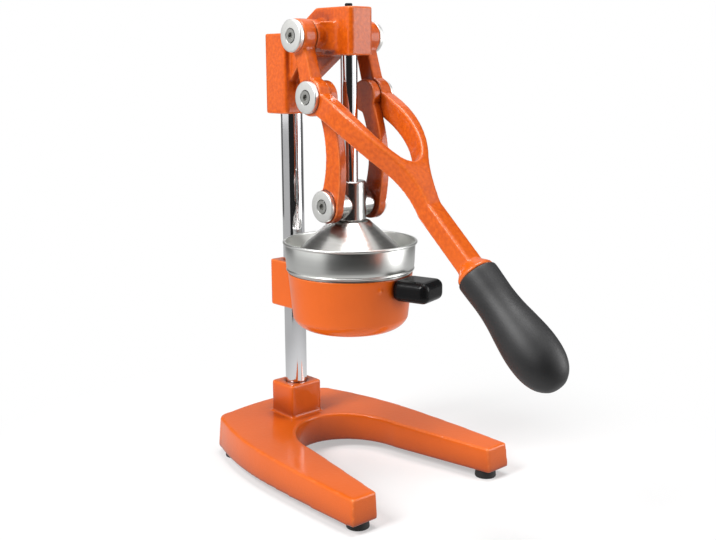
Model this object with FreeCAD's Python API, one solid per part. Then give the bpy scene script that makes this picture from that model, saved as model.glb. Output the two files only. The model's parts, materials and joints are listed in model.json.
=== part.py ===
import FreeCAD, Part
import math
import os

# A lever citrus press on a cast base. Millimetres.
# The lever points to -Y, the column stands at +Y, the pivots lie along X and +Z is up.
# Every piece is drawn with the plunger's axis at x = 0, y = 0 and the table at z = 0. At the end all of them
# are moved along Y, so that the origin is on the table under the middle of the whole press.

Vector = FreeCAD.Vector
RIGHT = Vector(1, 0, 0)
BACK = Vector(0, 1, 0)
UP = Vector(0, 0, 1)

# clearances
running_gap = 0.05        # radial gap of a shaft that turns or slides
fixed_gap = 0.02          # radial gap of a shaft that is pressed or screwed in
side_gap = 0.3            # gap between two faces that pass each other

# base casting
base_front = 108.5        # from the plunger's axis to the front of the legs, at the top
base_rear = 128.0
leg_front_half = 94.5     # half of the width across the legs at the front
waist_half = 92.0         # half of the width where the sides start to turn in
waist_y = 12.0
flank_bow = 3.8           # how far the flank bows out between there and the rear corner
tail_half = 71.0          # half of the width before the rear corners
tail_y = 110.0
rear_corner_run = 17.0    # how far a rear corner reaches along the rear edge
rear_crown = 6.0          # how far the rear edge bulges
base_underside = 8.0      # height of the base's underside, which is the height of the feet
leg_tip_height = 31.5     # height of the top at the front of the legs
base_rear_height = 38.0   # height of the top at the rear
base_draft = 3.0
base_wall = 6.0
base_deck = 9.0           # thickness left above the hollow underside
throat_half = 51.5        # half of the width of the gap for the glass
throat_mouth_half = 69.0  # the same at the front of the legs
throat_centre_y = -5.0
throat_depth = 61.0       # from the throat's centre to its rear end
cutter_margin = 40.0      # how far a cutting block reaches past what it cuts

# feet
foot_radius = 10.0
foot_front_inset = 14.5   # from the leg's outer end to the foot's middle, along X
foot_front_run = 10.5     # the same along Y
foot_rear_inset = 9.0     # from the rear corner to the foot's middle, along X
foot_rear_run = 8.0       # the same along Y
foot_boss_radius = 9.0
foot_screw_radius = 2.5
foot_screw_head = 4.5
foot_screw_length = 12.0
foot_screw_head_height = 2.8

# column and the blocks that hold it
column_radius = 10.5
column_y = 82.5
column_foot_z = 22.0
column_top_gap = 9.3      # from the column's end up to the head's rear top
block_half = 19.2         # half of the width of the head's block across X
block_depth_half = 15.3   # half of its depth along Y
boss_half = 19.0         # the same of the base's boss
boss_depth_half = 16.6
boss_top_z = 69.0
block_edge_round = 3.0
column_bolt_radius = 5.0
column_bolt_reach = 24.0
column_bolt_head = 8.0
column_bolt_head_height = 6.0
column_washer_radius = 12.0
column_washer_thickness = 2.0
grub_radius = 4.0
grub_length = 5.0
grub_socket = 4.0         # across the flats

# ring that carries the bowl
ring_top_z = 192.0
ring_height = 52.5
ring_top_radius = 57.2
ring_taper = 4.2          # how much narrower it is at the start of its rounded bottom
ring_round_height = 10.5
ring_foot_radius = 40.0
ring_wall = 7.2
ring_outlet_radius = 34.0
ring_floor = 7.0
clamp_half = 17.0
clamp_rear_y = 99.5
clamp_height = 45.5
pip_radius = 2.2
pip_drop = 9.0            # below the ring's top
pip_angle = -14.0         # round the ring, from the front, to the right

# side handle of the ring
handle_angle = 15.5
handle_width = 35.0
handle_reach = 31.5       # from the ring's top radius outwards
handle_thickness = 19.2
handle_drop = 10.2        # from the ring's top to the handle's middle
handle_round = 6.6
handle_seat = 3.0         # how deep the handle's end is cut to the ring's curve
handle_screw_radius = 3.0
handle_screw_head = 5.0
handle_screw_depth = 16.0

# head casting
head_step = 20.7          # from the guide's top down to the rear block's top
block_height = 73.3
guide_half = 13.6         # half of the width of the block that guides the plunger
guide_front = 17.4        # from the plunger's axis to that block's front face
guide_top_z = 426.0
guide_height = 41.5
guide_top_rear_y = 29.0
slope_end_y = 62.0
arch_start_y = 38.0
arch_mid_y = 54.0
arch_mid_drop = 7.0       # below the guide's underside
arch_end_drop = 22.5
rib_half = 5.0
rib_front_y = 12.0
rib_end_drop = 35.0
guide_corner_cut = 2.6
saddle_half_height = 12.6 # half of the height of the webs beside the guide
saddle_reach = 15.0       # how far along Y a web reaches from the side boss's middle third
bush_wall = 2.2
bush_length = 14.0

# top pivot, fixed in the head, and crank
top_pivot_y = 20.9
top_pivot_drop = 24.7     # below the guide's top
side_boss_radius = 14.5
crank_lead = 16.0         # how far the elbow lies in front of the top pivot
crank_drop = 52.3

# planes across X, from the middle outwards
lug_end_x = 20.8
link_thickness = 8.6
crank_thickness = 12.0
top_eye_thickness = 14.2
mid_eye_thickness = 12.0

# pivot hardware
pivot_washer_radius = 14.1
pivot_washer_thickness = 4.4
pivot_washer_edge = 0.8
pivot_screw_radius = 4.0
pivot_screw_head = 5.8
pivot_screw_sink = 3.4    # depth of the countersunk head
pivot_sleeve_radius = 6.5
pivot_socket = 5.4        # across the flats
pivot_socket_depth = 2.6
pivot_screw_grip = 10.0   # thread held in the inner piece

# lever casting
lever_fall = 41.6         # degrees that the lever points below level
lever_knot_y = -100.0     # a point of the stem's axis, behind the grip
lever_knot_drop = 91.3    # below the elbow
top_eye_radius = 14.5
mid_eye_radius = 16.0
crank_half_width = 7.4
arm_bow_top = 19.2        # greatest height of the arms' upper edge above the stem's axis
arm_bow_low = 0.5
arm_bow_u = -82.0
stem_half_height = 8.5
stem_half_width = 8.0
crotch_u = -40.0          # end of the window between the arms
window_u = -110.0         # where the window is widest
shoulder_u = -45.0
shoulder_half = 21.0
arm_shoulder_u = -72.0
arm_shoulder_half = 34.5
flank_u = -22.0
flank_half = 11.0
stem_start_u = 0.0
stem_end_u = 60.0
collar_u = 69.0
collar_thickness = 3.0
collar_radius = 16.0
tang_radius = 5.0
tang_length = 70.0

# lever grip: radius along its axis, from the collar
grip_length = 112.0
grip_start_radius = 17.6
grip_neck_radius = 17.0
grip_neck_u = 26.0
grip_bulb_radius = 21.8
grip_bulb_u = 78.0
grip_end_round_u = 97.0
grip_end_radius = 18.0

# links
link_bow = 13.0           # how far a link bows forwards
link_half_width = 8.9
link_top_radius = 14.6
link_low_radius = 15.4
link_heel = 1.2           # how far the lower end reaches further forwards than back
link_spot_depth = 1.0
link_thread_floor = 2.0   # metal left behind the blind thread of the elbow's eye

# plunger
rod_radius = 7.5
rod_top_gap = 0.2         # from the rod's end up to the guide's top, with the lever down
sleeve_radius = 14.6
sleeve_height = 36.0
lug_height = 15.1         # from the sleeve's lower end to the lugs' axis
lug_radius = 12.3
rod_screw_head = 3.3
rod_screw_head_height = 3.4
rod_screw_radius = 2.5
rod_screw_length = 12.0

# press cone, a bell that pushes the fruit down
cone_top_radius = 17.8
cone_rim_radius = 50.0
cone_rim_height = 17.5    # above the ring's top, with the lever down
cone_height = 29.0
cone_lip = 3.0
cone_wall = 3.0
cone_plate = 5.5
cone_bolt_radius = 4.0
cone_bolt_reach = 20.0
cone_bolt_head = 6.5
cone_bolt_head_height = 4.0
cone_washer_radius = 9.0
cone_washer_thickness = 1.5

# juice bowl
bowl_height = 28.6        # above the ring's top
bowl_rim_reach = 1.1      # how far the rolled rim stands out from the wall's top
bowl_lip = 1.6            # radius of the rolled rim
bowl_wall = 1.2
bowl_flare = 1.6          # how much wider the wall is at its top than at the step
bowl_step_height = 6.5
bowl_step_fall = 1.0
bowl_step = 1.8           # how far the step stands out from the seat
bowl_seat_inset = 0.4     # from the ring's top edge in to the bowl's seat
bowl_neck_gap = 1.0       # between the funnel and the ring's bore
spout_radius = 12.0
funnel_depth = 40.0       # below the ring's top
spout_length = 19.0

# strainer
strainer_height = 34.5    # above the ring's top
strainer_shoulder_radius = 27.0
strainer_shoulder_drop = 9.5
strainer_foot_inset = 3.0 # from the bowl's neck in to the dome's foot
strainer_brim_gap = 1.1   # between the brim and the bowl's wall
strainer_wall = 1.2
strainer_ribs = 10
strainer_rib_height = 1.6
strainer_rib_half = 1.2
strainer_slots = 20
strainer_slot_half = 1.0
strainer_slot_length = 12.0


# places and radii that follow from the ones above
foot_front_x = leg_front_half - foot_front_inset
foot_front_y = foot_front_run - base_front
foot_rear_x = tail_half - foot_rear_inset
foot_rear_y = tail_y - foot_rear_run
ring_low_radius = ring_top_radius - ring_taper
ring_bore_radius = ring_top_radius - ring_wall
bowl_neck_radius = ring_bore_radius - bowl_neck_gap
bowl_seat_radius = ring_top_radius - bowl_seat_inset
bowl_step_radius = bowl_seat_radius + bowl_step
bowl_wall_top = bowl_step_radius + bowl_flare
bowl_rim_radius = bowl_wall_top + bowl_rim_reach
strainer_foot_radius = bowl_neck_radius - strainer_foot_inset
strainer_brim_radius = bowl_seat_radius - bowl_wall - strainer_brim_gap

# heights that follow from the ones above
ring_bottom_z = ring_top_z - ring_height
ring_round_z = ring_bottom_z + ring_round_height
clamp_low_z = ring_top_z - clamp_height
pip_z = ring_top_z - pip_drop
handle_z = ring_top_z - handle_drop
bowl_rim_z = ring_top_z + bowl_height
bowl_step_z = ring_top_z + bowl_step_height
spout_start_z = ring_top_z - funnel_depth
spout_end_z = spout_start_z - spout_length
strainer_tip_z = ring_top_z + strainer_height
strainer_shoulder_z = strainer_tip_z - strainer_shoulder_drop
cone_rim_z = ring_top_z + cone_rim_height
sleeve_low_z = cone_rim_z + cone_height
sleeve_top_z = sleeve_low_z + sleeve_height
low_pivot_z = sleeve_low_z + lug_height
guide_low_z = guide_top_z - guide_height
head_rear_top_z = guide_top_z - head_step
head_low_z = head_rear_top_z - block_height
column_top_z = head_rear_top_z - column_top_gap
arch_mid_z = guide_low_z - arch_mid_drop
arch_end_z = guide_low_z - arch_end_drop
rib_end_z = guide_low_z - rib_end_drop
rod_top_z = guide_top_z - rod_top_gap
top_pivot_z = guide_top_z - top_pivot_drop
mid_pivot_y = top_pivot_y - crank_lead
mid_pivot_z = top_pivot_z - crank_drop
lever_knot_z = mid_pivot_z - lever_knot_drop

# directions, places and sizes that follow
stem_axis = Vector(0, -math.cos(math.radians(lever_fall)), -math.sin(math.radians(lever_fall)))
stem_up = Vector(0, -math.sin(math.radians(lever_fall)), math.cos(math.radians(lever_fall)))
lever_knot = Vector(0, lever_knot_y, lever_knot_z)
top_pivot = Vector(0, top_pivot_y, top_pivot_z)
mid_pivot = Vector(0, mid_pivot_y, mid_pivot_z)
low_pivot = Vector(0, 0, low_pivot_z)
link_inner_x = lug_end_x + side_gap
link_outer_x = link_inner_x + link_thickness
lever_inner_x = link_outer_x + side_gap
bush_radius = rod_radius + bush_wall
cone_slope = (cone_rim_radius - cone_top_radius) / (sleeve_low_z - cone_rim_z)


def cylinder(centre, axis, radius, length):
    return Part.makeCylinder(radius, length, centre, axis)


def rod_between(centre, axis, radius, start, end):
    return Part.makeCylinder(radius, end - start, centre + axis * start, axis)


def box_between(low, high):
    size = high - low
    return Part.makeBox(size.x, size.y, size.z, low)


def face_of(edges):
    return Part.Face(Part.Wire(Part.__sortEdges__(edges)))


def line(start, end):
    return Part.LineSegment(start, end).toShape()


def arc(start, middle, end):
    return Part.Arc(start, middle, end).toShape()


def polygon(points):
    return Part.Face(Part.makePolygon(points + [points[0]]))


def side_polygon(points, half_width):
    """A prism across X from points given as (y, z)."""
    corners = [Vector(-half_width, y, z) for y, z in points]
    return polygon(corners).extrude(RIGHT * (2 * half_width))


def turned(edges):
    """A solid of revolution about Z from a closed outline in the XZ plane."""
    return face_of(edges).revolve(Vector(0, 0, 0), UP, 360)


def outline(points):
    """Straight edges through points given as (radius, z), closed."""
    corners = [Vector(x, 0, z) for x, z in points]
    return [line(a, b) for a, b in zip(corners, corners[1:] + corners[:1])]


def mirrored(shape):
    return shape.mirror(Vector(0, 0, 0), RIGHT)


def both_sides(shape):
    return Part.makeCompound([shape, mirrored(shape)])


def joined(shapes):
    whole = shapes[0].fuse(shapes[1:]) if len(shapes) > 1 else shapes[0]
    return whole.removeSplitter()


def upright_edges(shape, low, high, inside):
    """Edges along Z whose middle lies between two heights and passes a test on (x, y)."""
    found = []
    for edge in shape.Edges:
        a = edge.Vertexes[0].Point
        b = edge.Vertexes[-1].Point
        upright = abs(a.x - b.x) + abs(a.y - b.y) < 0.01 and abs(a.z - b.z) > 1.0
        middle = (a + b) * 0.5
        if upright and low <= middle.z <= high and inside(middle):
            found.append(edge)
    return found


def hexagon_socket(centre, axis, across_flats, depth):
    """The hollow of a hexagon socket that opens along axis at centre."""
    radius = across_flats / math.sqrt(3)
    side = axis.cross(UP if abs(axis.z) < 0.5 else RIGHT)
    side.normalize()
    other = axis.cross(side)
    corners = []
    for step in range(6):
        angle = math.radians(60 * step)
        corners.append(centre + side * (radius * math.cos(angle)) + other * (radius * math.sin(angle)))
    return polygon(corners).extrude(axis * -depth)


# base casting
def base_outline(grow, z):
    front = Vector(leg_front_half + grow, -base_front - grow, z)
    side_middle = Vector((leg_front_half + waist_half) / 2 + 1.2 + grow, (waist_y - base_front) / 2, z)
    waist = Vector(waist_half + grow, waist_y, z)
    tail = Vector(tail_half + grow, tail_y, z)
    along = (tail - waist).normalize()
    flank = (waist + tail) * 0.5 + Vector(along.y, -along.x, 0) * flank_bow
    corner_end = Vector(tail_half - rear_corner_run, base_rear - rear_crown + grow, z)
    corner_middle = Vector(tail_half - rear_corner_run * 0.3 + grow * 0.7,
                           (tail_y * 0.3 + (base_rear - rear_crown) * 0.7) + 0.5 + grow * 0.7, z)
    rear = Vector(0, base_rear + grow, z)

    def flip(point):
        return Vector(-point.x, point.y, point.z)

    edges = [line(flip(front), front), arc(front, side_middle, waist), arc(waist, flank, tail)]
    edges += [arc(tail, corner_middle, corner_end), arc(corner_end, rear, flip(corner_end))]
    edges += [arc(flip(corner_end), flip(corner_middle), flip(tail))]
    edges += [arc(flip(tail), flip(flank), flip(waist))]
    edges += [arc(flip(waist), flip(side_middle), flip(front))]
    return Part.Wire(edges)


def throat(shrink, low, high):
    """The gap between the legs, made smaller by shrink all round."""
    half = throat_half - shrink
    depth = throat_depth - shrink
    centre = Vector(0, throat_centre_y, low)
    ellipse = Part.Ellipse(centre, max(half, depth), min(half, depth))
    ellipse.AngleXU = 0.0 if half > depth else math.pi / 2
    round_end = Part.Face(Part.Wire(ellipse.toShape())).extrude(UP * (high - low))
    front_y = -base_front - base_draft - 20.0
    flare = (throat_mouth_half - throat_half) / (base_front + throat_centre_y)
    mouth_half = half + flare * (throat_centre_y - front_y)
    corners = [Vector(-half, throat_centre_y, low), Vector(half, throat_centre_y, low)]
    corners += [Vector(mouth_half, front_y, low), Vector(-mouth_half, front_y, low)]
    mouth = polygon(corners).extrude(UP * (high - low))
    return round_end.fuse(mouth)


def foot_places():
    return {
        "foot_front_left": Vector(-foot_front_x, foot_front_y, 0),
        "foot_front_right": Vector(foot_front_x, foot_front_y, 0),
        "foot_rear_left": Vector(-foot_rear_x, foot_rear_y, 0),
        "foot_rear_right": Vector(foot_rear_x, foot_rear_y, 0),
    }


def base_top_at(y):
    share = (y + base_front) / (base_front + base_rear)
    return leg_tip_height + (base_rear_height - leg_tip_height) * share


def base_casting():
    above = base_rear_height + 6.0
    body = Part.makeLoft([base_outline(base_draft, base_underside), base_outline(0, above)], True, True)
    far = base_rear + cutter_margin
    wedge = [(-far, base_top_at(-far)), (far, base_top_at(far)), (far, above + 20), (-far, above + 20)]
    body = body.cut(side_polygon(wedge, leg_front_half + cutter_margin))
    body = body.cut(throat(0, 0, above + 10))
    hollow_top = leg_tip_height - base_deck
    hollow_low = base_underside - 1
    hollow = Part.Face(base_outline(-base_wall, hollow_low)).extrude(UP * (hollow_top - hollow_low))
    hollow = hollow.cut(throat(-base_wall, hollow_low - 1, hollow_top + 1))
    for place in foot_places().values():
        hollow = hollow.cut(cylinder(place, UP, foot_boss_radius, hollow_top + 1))
    pillar_low = Vector(-boss_half, column_y - boss_depth_half, column_foot_z - column_washer_thickness)
    pillar_high = Vector(boss_half, column_y + boss_depth_half, hollow_top + 1)
    hollow = hollow.cut(box_between(pillar_low, pillar_high))
    boss_low = Vector(-boss_half, column_y - boss_depth_half, column_foot_z)
    boss_high = Vector(boss_half, column_y + boss_depth_half, boss_top_z)
    boss = box_between(boss_low, boss_high)
    boss = boss.makeFillet(block_edge_round, upright_edges(boss, 0, boss_top_z, lambda middle: True))
    body = joined([body.cut(hollow), boss])
    body = body.cut(rod_between(Vector(0, column_y, 0), UP, column_radius + fixed_gap, column_foot_z,
                                boss_top_z + 1))
    bolt_hole = column_bolt_radius + fixed_gap
    body = body.cut(rod_between(Vector(0, column_y, 0), UP, bolt_hole, 0, column_foot_z + 1))
    for place in foot_places().values():
        body = body.cut(rod_between(place, UP, foot_screw_radius + fixed_gap, 0, foot_screw_top()))
    body = body.cut(grub_hole(grub_heights()[0], column_y + boss_depth_half))
    return body


def foot_screw_top():
    return base_underside + foot_screw_length


def rubber_foot(place):
    edge = 1.5
    points = [(foot_screw_head + 0.3, 0), (foot_radius - edge, 0), (foot_radius, edge)]
    points += [(foot_radius - 0.8, base_underside), (foot_screw_radius + fixed_gap, base_underside)]
    seat = base_underside / 2
    points += [(foot_screw_radius + fixed_gap, seat), (foot_screw_head + 0.3, seat)]
    foot = turned(outline(points))
    foot.translate(place)
    return foot


def foot_screws():
    screws = []
    seat = base_underside / 2
    for place in foot_places().values():
        head = rod_between(place, UP, foot_screw_head, seat - foot_screw_head_height, seat)
        shank = rod_between(place, UP, foot_screw_radius, seat, foot_screw_top() - 0.5)
        head_low = place + UP * (seat - foot_screw_head_height)
        slot_low = head_low + Vector(-foot_screw_head, -0.5, 0)
        slot_high = head_low + Vector(foot_screw_head, 0.5, 1.2)
        screws.append(joined([head, shank]).cut(box_between(slot_low, slot_high)))
    return Part.makeCompound(screws)


# column
def column():
    centre = Vector(0, column_y, 0)
    body = rod_between(centre, UP, column_radius, column_foot_z, column_top_z)
    body = body.makeChamfer(1.0, [edge for edge in body.Edges if edge.Closed])
    return body.cut(rod_between(centre, UP, column_bolt_radius + fixed_gap, 0,
                                column_foot_z + column_bolt_reach + 3))


def column_bolt():
    centre = Vector(0, column_y, 0)
    seat = column_foot_z - column_washer_thickness * 2
    head = rod_between(centre, UP, column_bolt_head, seat - column_bolt_head_height, seat)
    shank = rod_between(centre, UP, column_bolt_radius, seat, column_foot_z + column_bolt_reach)
    socket = hexagon_socket(centre + UP * (seat - column_bolt_head_height), -UP, column_bolt_head, 4.0)
    return joined([head, shank]).cut(socket)


def column_washer():
    centre = Vector(0, column_y, 0)
    low = column_foot_z - column_washer_thickness * 2
    disc = rod_between(centre, UP, column_washer_radius, low, low + column_washer_thickness)
    return disc.cut(rod_between(centre, UP, column_bolt_radius + 0.3, 0, low + 10))


def grub_heights():
    base_height = (base_rear_height + boss_top_z) / 2
    ring_height = (clamp_low_z + ring_top_z) / 2
    head_height = (head_low_z + arch_end_z) / 2
    return [base_height, ring_height, head_height, head_height + 30.0]


def grub_hole(height, rear_y):
    start = column_radius - 1.0
    return rod_between(Vector(0, column_y, height), BACK, grub_radius + fixed_gap, start,
                       rear_y - column_y + 1)


def grub_screws():
    """Set screws that hold the three castings on the column."""
    screws = []
    for height in grub_heights():
        centre = Vector(0, column_y, height)
        start = column_radius + fixed_gap
        screw = rod_between(centre, BACK, grub_radius, start, start + grub_length)
        screw = screw.cut(hexagon_socket(centre + BACK * (start + grub_length), BACK, grub_socket, 2.5))
        screws.append(screw)
    return Part.makeCompound(screws)


# ring that carries the bowl
def ring_skin():
    """The ring's outside, filled."""
    low_edge = Vector(ring_low_radius, 0, ring_round_z)
    round_middle = Vector(ring_low_radius - 3.6, 0, ring_bottom_z + 5.2)
    foot_edge = Vector(ring_foot_radius, 0, ring_bottom_z)
    edges = [line(Vector(0, 0, ring_bottom_z), foot_edge), arc(foot_edge, round_middle, low_edge)]
    edges += [line(low_edge, Vector(ring_top_radius, 0, ring_top_z))]
    edges += [line(Vector(ring_top_radius, 0, ring_top_z), Vector(0, 0, ring_top_z))]
    edges += [line(Vector(0, 0, ring_top_z), Vector(0, 0, ring_bottom_z))]
    return turned(edges)


def ring_cavity():
    floor_z = ring_bottom_z + ring_floor
    points = [(0, ring_bottom_z - 1), (ring_outlet_radius, ring_bottom_z - 1), (ring_outlet_radius, floor_z)]
    points += [(ring_low_radius - 10.0, floor_z), (ring_bore_radius - 3.0, ring_round_z + 2)]
    points += [(ring_bore_radius, ring_round_z + 16), (ring_bore_radius, ring_top_z + 1),
               (0, ring_top_z + 1)]
    return turned(outline(points))


def around(angle, radius, z):
    """A point round the plunger's axis; angle 0 is the front, and it grows to the right."""
    turn = math.radians(angle)
    return Vector(radius * math.sin(turn), -radius * math.cos(turn), z)


def handle_axis():
    return around(handle_angle, 1.0, 0)


def cup_ring():
    body = ring_skin()
    clamp = box_between(Vector(-clamp_half, 30, clamp_low_z),
                        Vector(clamp_half, clamp_rear_y, ring_top_z - 0.5))
    rear_edges = upright_edges(clamp, 0, ring_top_z, lambda middle: middle.y > clamp_rear_y - 1)
    clamp = clamp.makeFillet(block_edge_round, rear_edges)
    body = joined([body, clamp]).cut(ring_cavity())
    body = body.cut(rod_between(Vector(0, column_y, 0), UP, column_radius + fixed_gap, 0, ring_top_z + 1))
    body = body.cut(grub_hole(grub_heights()[1], clamp_rear_y))
    pip = Part.makeSphere(pip_radius, around(pip_angle, ring_radius_at(pip_z) - 0.8, pip_z))
    body = joined([body, pip])
    screw_hole = cylinder(Vector(0, 0, handle_z), handle_axis(), handle_screw_radius + fixed_gap,
                          ring_top_radius + 5)
    return body.cut(screw_hole)


def ring_radius_at(z):
    share = (z - ring_round_z) / (ring_top_z - ring_round_z)
    return ring_low_radius + (ring_top_radius - ring_low_radius) * share


def side_handle():
    start = ring_radius_at(handle_z) - handle_seat
    end = ring_top_radius + handle_reach
    body = Part.makeBox(handle_width, end - start, handle_thickness,
                        Vector(-handle_width / 2, -end, handle_z - handle_thickness / 2))
    body = body.makeFillet(handle_round, body.Edges)
    body.rotate(Vector(0, 0, 0), UP, handle_angle)
    body = body.cut(ring_skin())
    hole_end = ring_radius_at(handle_z) + handle_screw_depth + 1
    return body.cut(cylinder(Vector(0, 0, handle_z), handle_axis(), handle_screw_radius + fixed_gap,
                             hole_end))


def side_handle_screw():
    centre = Vector(0, 0, handle_z)
    head_height = 2.6
    seat = math.sqrt(ring_bore_radius ** 2 - handle_screw_head ** 2)
    head = rod_between(centre, handle_axis(), handle_screw_head, seat - head_height, seat)
    shank = rod_between(centre, handle_axis(), handle_screw_radius, seat,
                        ring_radius_at(handle_z) + handle_screw_depth)
    socket = hexagon_socket(centre + handle_axis() * (seat - head_height), -handle_axis(), 4.0, 1.6)
    return joined([head, shank]).cut(socket)


# head casting
def head_casting():
    block = box_between(Vector(-block_half, column_y - block_depth_half, head_low_z),
                        Vector(block_half, column_y + block_depth_half, head_rear_top_z))
    block = block.makeFillet(block_edge_round, upright_edges(block, 0, 500, lambda middle: True))
    block_front = column_y - block_depth_half
    bridge = [(-guide_front, guide_low_z), (-guide_front, guide_top_z), (guide_top_rear_y, guide_top_z)]
    bridge += [(slope_end_y, head_rear_top_z), (column_y, head_rear_top_z), (column_y, arch_end_z)]
    bridge += [(block_front, arch_end_z), (arch_mid_y, arch_mid_z), (arch_start_y, guide_low_z)]
    bridge = side_polygon(bridge, guide_half)
    corners = upright_edges(bridge, guide_low_z, guide_top_z, lambda middle: middle.y < -guide_front + 1)
    bridge = bridge.makeChamfer(guide_corner_cut, corners)
    rib = [(rib_front_y, guide_low_z - 0.01), (rib_front_y, guide_low_z + 8), (column_y, guide_low_z + 8)]
    rib += [(column_y, rib_end_z), (block_front, rib_end_z)]
    rib = side_polygon(rib, rib_half)
    side_boss = rod_between(top_pivot, RIGHT, side_boss_radius, -head_boss_x(), head_boss_x())
    body = joined([block, bridge, rib, side_boss, saddle(1), saddle(-1)])
    column_hole = rod_between(Vector(0, column_y, 0), UP, column_radius + fixed_gap, 0, column_top_z + 0.5)
    guide_hole = rod_between(Vector(0, 0, 0), UP, bush_radius + fixed_gap, 0, guide_top_z + 1)
    screw_hole = rod_between(top_pivot, RIGHT, pivot_screw_radius + fixed_gap,
                             head_boss_x() - pivot_screw_grip - 1, head_boss_x() + 1)
    body = body.cut([column_hole, guide_hole, screw_hole, mirrored(screw_hole)])
    for height in grub_heights()[2:]:
        body = body.cut(grub_hole(height, column_y + block_depth_half))
    return body


def saddle(side):
    """The hollow-sided web that widens the side bosses into the guide, in front (-1) or behind (1)."""
    low = top_pivot_z - saddle_half_height
    neck_y = top_pivot_y + side * side_boss_radius * 0.75
    end_y = neck_y + side * saddle_reach
    outer = Vector(head_boss_x() - 1.5, neck_y, low)
    inner = Vector(guide_half - 0.5, end_y, low)
    middle = Vector(guide_half + (outer.x - guide_half) * 0.3, neck_y + (end_y - neck_y) * 0.3, low)

    def flip(point):
        return Vector(-point.x, point.y, point.z)

    edges = [arc(outer, middle, inner), line(inner, flip(inner)),
             arc(flip(inner), flip(middle), flip(outer))]
    edges += [line(flip(outer), outer)]
    return face_of(edges).extrude(UP * (2 * saddle_half_height))


def head_boss_x():
    return lever_inner_x - side_gap


def guide_bush(low):
    centre = Vector(0, 0, 0)
    tube = rod_between(centre, UP, bush_radius, low, low + bush_length)
    return tube.cut(rod_between(centre, UP, rod_radius + running_gap, 0, guide_top_z + 1))


# pivot hardware, made on the right side and turned over for the left
def pivot_washer(pivot, inner_x):
    disc = rod_between(pivot, RIGHT, pivot_washer_radius, inner_x, inner_x + pivot_washer_thickness)
    disc = disc.makeChamfer(pivot_washer_edge, [edge for edge in disc.Edges if edge.Closed])
    return disc.cut(pivot_screw_body(pivot, 0, inner_x + pivot_washer_thickness, fixed_gap))


def pivot_screw_body(pivot, end_x, face_x, grow):
    shank = rod_between(pivot, RIGHT, pivot_screw_radius + grow, end_x, face_x)
    sink = face_x - pivot_screw_sink
    head = Part.makeCone(pivot_screw_radius + grow, pivot_screw_head + grow, pivot_screw_sink,
                         pivot + RIGHT * sink, RIGHT)
    return shank.fuse(head).removeSplitter()


def pivot_screw(pivot, end_x, face_x):
    body = pivot_screw_body(pivot, end_x, face_x, 0)
    return body.cut(hexagon_socket(pivot + RIGHT * face_x, RIGHT, pivot_socket, pivot_socket_depth))


def pivot_sleeve(pivot, start_x, end_x):
    tube = rod_between(pivot, RIGHT, pivot_sleeve_radius, start_x, end_x)
    return tube.cut(rod_between(pivot, RIGHT, pivot_screw_radius + fixed_gap, start_x - 1, end_x + 1))


def top_washer_x():
    return lever_inner_x + top_eye_thickness + side_gap


def mid_washer_x():
    return lever_inner_x + mid_eye_thickness


def low_washer_x():
    return link_outer_x - link_spot_depth + side_gap


# lever casting
def lever_point(u, x, v):
    """A point at u along the stem from its knot, x to the right and v above the stem's axis."""
    return lever_knot + stem_axis * u + RIGHT * x + stem_up * v


def lever_u(point):
    return (point - lever_knot).dot(stem_axis)


def lever_v(point):
    return (point - lever_knot).dot(stem_up)


def yoke_plan():
    """The two arms and the stem seen square to the lever, as a solid between two heights."""
    deep = 40.0
    outer = lever_inner_x + crank_thickness
    start = lever_u(mid_pivot)

    def at(u, x):
        return lever_point(u, x, -deep)

    right = [line(at(start, outer), at(window_u, outer))]
    right += [arc(at(window_u, outer), at(arm_shoulder_u, arm_shoulder_half), at(shoulder_u, shoulder_half))]
    right += [arc(at(shoulder_u, shoulder_half), at(flank_u, flank_half), at(stem_start_u, stem_half_width))]
    right += [line(at(stem_start_u, stem_half_width), at(collar_u, stem_half_width))]
    left = [line(at(start, -outer), at(window_u, -outer))]
    left += [arc(at(window_u, -outer), at(arm_shoulder_u, -arm_shoulder_half),
                 at(shoulder_u, -shoulder_half))]
    left += [arc(at(shoulder_u, -shoulder_half), at(flank_u, -flank_half),
                 at(stem_start_u, -stem_half_width))]
    left += [line(at(stem_start_u, -stem_half_width), at(collar_u, -stem_half_width))]
    ends = [line(at(start, outer), at(start, -outer))]
    ends += [line(at(collar_u, stem_half_width), at(collar_u, -stem_half_width))]
    plan = face_of(right + left + ends).extrude(stem_up * (2 * deep))
    half = lever_inner_x
    length = crotch_u - window_u
    ellipse = Part.Ellipse(at(window_u + length, 0), at(window_u, half), at(window_u, 0))
    window = Part.Face(Part.Wire(ellipse.toShape())).extrude(stem_up * (2 * deep))
    corners = [at(start - 10, half), at(start - 10, -half), at(window_u, -half), at(window_u, half)]
    behind = polygon(corners).extrude(stem_up * (2 * deep))
    return plan.cut([window, behind])


def yoke_side():
    """The side view of arms and stem, wide enough for both arms."""
    wide = lever_inner_x + crank_thickness + 5
    start = lever_u(mid_pivot)
    drop = lever_v(mid_pivot)

    def at(u, v):
        return lever_point(u, -wide, v)

    top_start = at(start, drop + mid_eye_radius * 0.6)
    low_start = at(start, drop - mid_eye_radius * 0.7)
    edges = [line(low_start, top_start)]
    edges += [arc(top_start, at(arm_bow_u, arm_bow_top), at(stem_start_u, stem_half_height))]
    edges += [line(at(stem_start_u, stem_half_height), at(collar_u, stem_half_height))]
    edges += [line(at(collar_u, stem_half_height), at(collar_u, -stem_half_height))]
    edges += [line(at(collar_u, -stem_half_height), at(stem_start_u, -stem_half_height))]
    edges += [arc(at(stem_start_u, -stem_half_height), at(arm_bow_u, arm_bow_low), low_start)]
    return face_of(edges).extrude(RIGHT * (2 * wide))


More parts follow.
